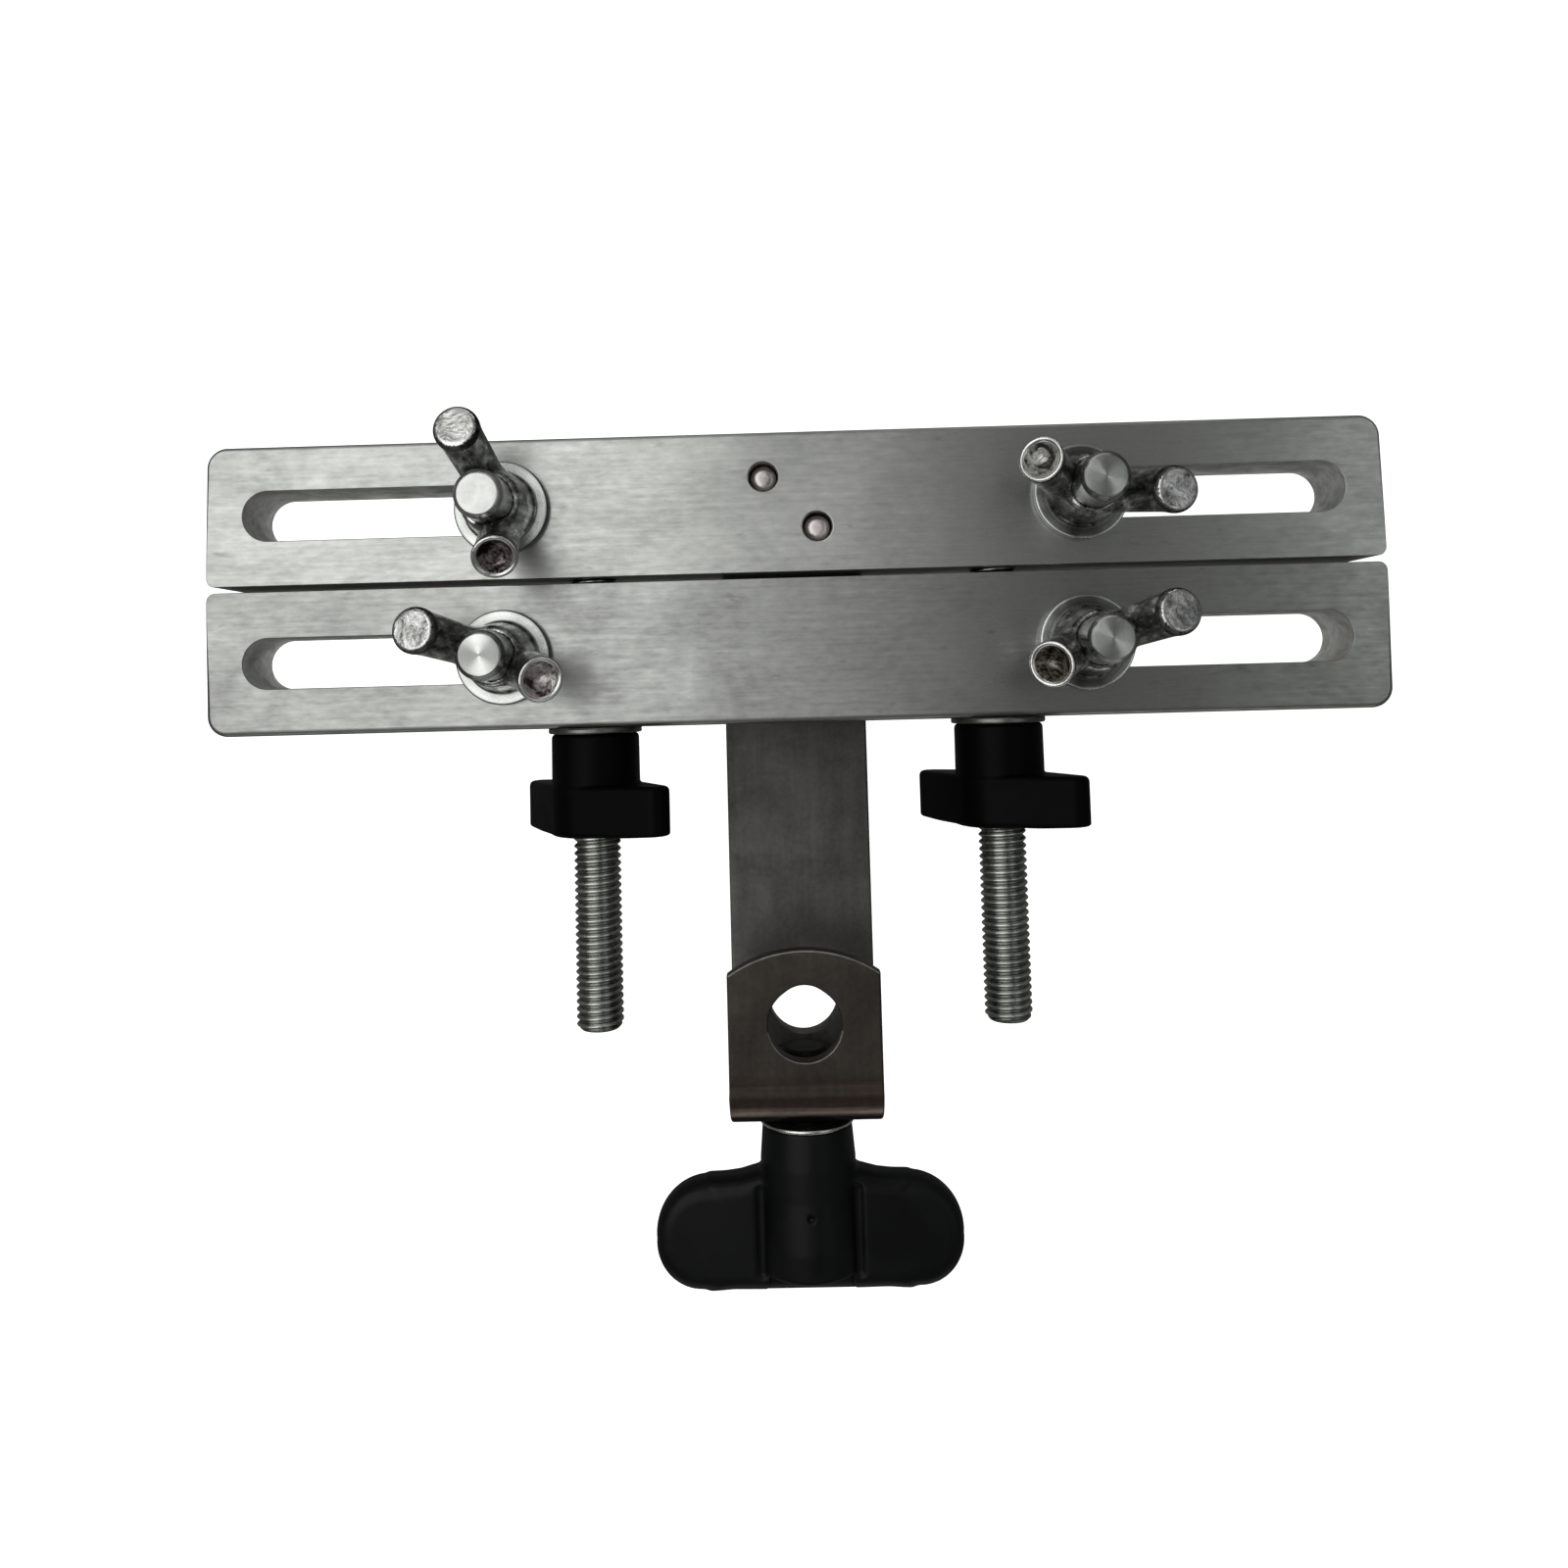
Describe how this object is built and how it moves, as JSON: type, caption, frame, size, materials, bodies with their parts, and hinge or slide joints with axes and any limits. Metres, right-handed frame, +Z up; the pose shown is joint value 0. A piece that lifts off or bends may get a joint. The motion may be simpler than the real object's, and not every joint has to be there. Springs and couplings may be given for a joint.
{
  "type": "clock movement holder",
  "caption": "Bar holder that clamps a clock or watch movement between a fixed and a sliding slotted bar, with sliding wing nut bolts, on a bent strap with a stand rod clamp.",
  "frame": {"origin": "on the axis of the stand rod bore, level with the working face of the two bars", "axes": "+X along the bars, +Y across the bars from the stand rod towards the fixed bar, +Z up out of the working face, along the stand rod"},
  "size_m": [0.2, 0.1451, 0.0385],
  "materials": {
    "brushed_stainless": "brushed along the length, satin",
    "zinc_plate": "bright zinc plate, slightly worn",
    "zinc_thread": "zinc plated thread",
    "dark_strap": "dark grey satin",
    "black_plastic": "moulded black, semi-gloss",
    "brass_insert": "turned"
  },
  "bodies": {
    "frame_bar": {"upper_bar": "brushed_stainless", "support_strap": "dark_strap", "strap_screws": "zinc_plate", "left_threaded_rod": "zinc_thread", "right_threaded_rod": "zinc_thread", "clamp_nut": "dark_strap"},
    "lower_jaw": {"lower_bar": "brushed_stainless", "left_knob_washer": "zinc_plate", "right_knob_washer": "zinc_plate"},
    "left_knob": {"left_clamp_knob": "black_plastic", "left_knob_insert": "brass_insert"},
    "right_knob": {"right_clamp_knob": "black_plastic", "right_knob_insert": "brass_insert"},
    "rod_clamp_washer": {"clamp_washer": "zinc_plate"},
    "rod_clamp_knob": {"clamp_knob": "black_plastic", "clamp_screw": "dark_strap", "clamp_screw_cap": "black_plastic"},
    "upper_left_bolt_body": {"upper_left_bolt": "zinc_plate"},
    "upper_left_washer_body": {"upper_left_washer": "zinc_plate"},
    "upper_left_nut_body": {"upper_left_wing_nut": "zinc_plate"},
    "upper_right_bolt_body": {"upper_right_bolt": "zinc_plate"},
    "upper_right_washer_body": {"upper_right_washer": "zinc_plate"},
    "upper_right_nut_body": {"upper_right_wing_nut": "zinc_plate"},
    "lower_left_bolt_body": {"lower_left_bolt": "zinc_plate"},
    "lower_left_washer_body": {"lower_left_washer": "zinc_plate"},
    "lower_left_nut_body": {"lower_left_wing_nut": "zinc_plate"},
    "lower_right_bolt_body": {"lower_right_bolt": "zinc_plate"},
    "lower_right_washer_body": {"lower_right_washer": "zinc_plate"},
    "lower_right_nut_body": {"lower_right_wing_nut": "zinc_plate"}
  },
  "joints": [
    {"name": "jaw_slide", "type": "slide", "parent": "frame_bar", "child": "lower_jaw", "axis": [0, -1, 0], "range_m": [-0.00075, 0.03]},
    {"name": "left_knob_turn", "type": "hinge", "parent": "lower_jaw", "child": "left_knob", "pos_m": [-0.0348, 0.039, -0.006], "axis": [0, -1, 0], "range_deg": [-217, 8641]},
    {"name": "right_knob_turn", "type": "hinge", "parent": "lower_jaw", "child": "right_knob", "pos_m": [0.0348, 0.039, -0.006], "axis": [0, -1, 0], "range_deg": [-217, 8641]},
    {"name": "rod_clamp_travel", "type": "slide", "parent": "frame_bar", "child": "rod_clamp_washer", "axis": [0, -1, 0], "range_m": [-0.0002, 0.004]},
    {"name": "rod_clamp_turn", "type": "hinge", "parent": "rod_clamp_washer", "child": "rod_clamp_knob", "pos_m": [0, -0.03, -0.005], "axis": [0, -1, 0], "range_deg": [-58, 1153]},
    {"name": "upper_left_bolt_slide", "type": "slide", "parent": "frame_bar", "child": "upper_left_bolt_body", "axis": [-1, 0, 0], "range_m": [0, 0.0375]},
    {"name": "upper_left_washer_lift", "type": "slide", "parent": "upper_left_bolt_body", "child": "upper_left_washer_body", "axis": [0, 0, 1], "range_m": [0, 0.00562]},
    {"name": "upper_left_nut_turn", "type": "hinge", "parent": "upper_left_washer_body", "child": "upper_left_nut_body", "pos_m": [-0.049, 0.086, 0.004], "axis": [0, 0, 1], "range_deg": [0, 1621]},
    {"name": "upper_right_bolt_slide", "type": "slide", "parent": "frame_bar", "child": "upper_right_bolt_body", "axis": [1, 0, 0], "range_m": [0, 0.0375]},
    {"name": "upper_right_washer_lift", "type": "slide", "parent": "upper_right_bolt_body", "child": "upper_right_washer_body", "axis": [0, 0, 1], "range_m": [0, 0.00562]},
    {"name": "upper_right_nut_turn", "type": "hinge", "parent": "upper_right_washer_body", "child": "upper_right_nut_body", "pos_m": [0.049, 0.086, 0.004], "axis": [0, 0, 1], "range_deg": [0, 1621]},
    {"name": "lower_left_bolt_slide", "type": "slide", "parent": "lower_jaw", "child": "lower_left_bolt_body", "axis": [-1, 0, 0], "range_m": [0, 0.0375]},
    {"name": "lower_left_washer_lift", "type": "slide", "parent": "lower_left_bolt_body", "child": "lower_left_washer_body", "axis": [0, 0, 1], "range_m": [0, 0.0002257]},
    {"name": "lower_left_nut_turn", "type": "hinge", "parent": "lower_left_washer_body", "child": "lower_left_nut_body", "pos_m": [-0.049, 0.06075, 0.004], "axis": [0, 0, 1], "range_deg": [0, 66]},
    {"name": "lower_right_bolt_slide", "type": "slide", "parent": "lower_jaw", "child": "lower_right_bolt_body", "axis": [1, 0, 0], "range_m": [0, 0.0375]},
    {"name": "lower_right_washer_lift", "type": "slide", "parent": "lower_right_bolt_body", "child": "lower_right_washer_body", "axis": [0, 0, 1], "range_m": [0, 0.00562]},
    {"name": "lower_right_nut_turn", "type": "hinge", "parent": "lower_right_washer_body", "child": "lower_right_nut_body", "pos_m": [0.049, 0.06075, 0.004], "axis": [0, 0, 1], "range_deg": [0, 1621]}
  ],
  "couplings": [
    {"joint": "left_knob_turn", "follows": "jaw_slide", "rad_per_m": 5026.5},
    {"joint": "right_knob_turn", "follows": "jaw_slide", "rad_per_m": 5026.5},
    {"joint": "rod_clamp_turn", "follows": "rod_clamp_travel", "rad_per_m": 5026.5},
    {"joint": "upper_left_nut_turn", "follows": "upper_left_washer_lift", "rad_per_m": 5026.5},
    {"joint": "upper_right_nut_turn", "follows": "upper_right_washer_lift", "rad_per_m": 5026.5},
    {"joint": "lower_left_nut_turn", "follows": "lower_left_washer_lift", "rad_per_m": 5026.5},
    {"joint": "lower_right_nut_turn", "follows": "lower_right_washer_lift", "rad_per_m": 5026.5}
  ]
}
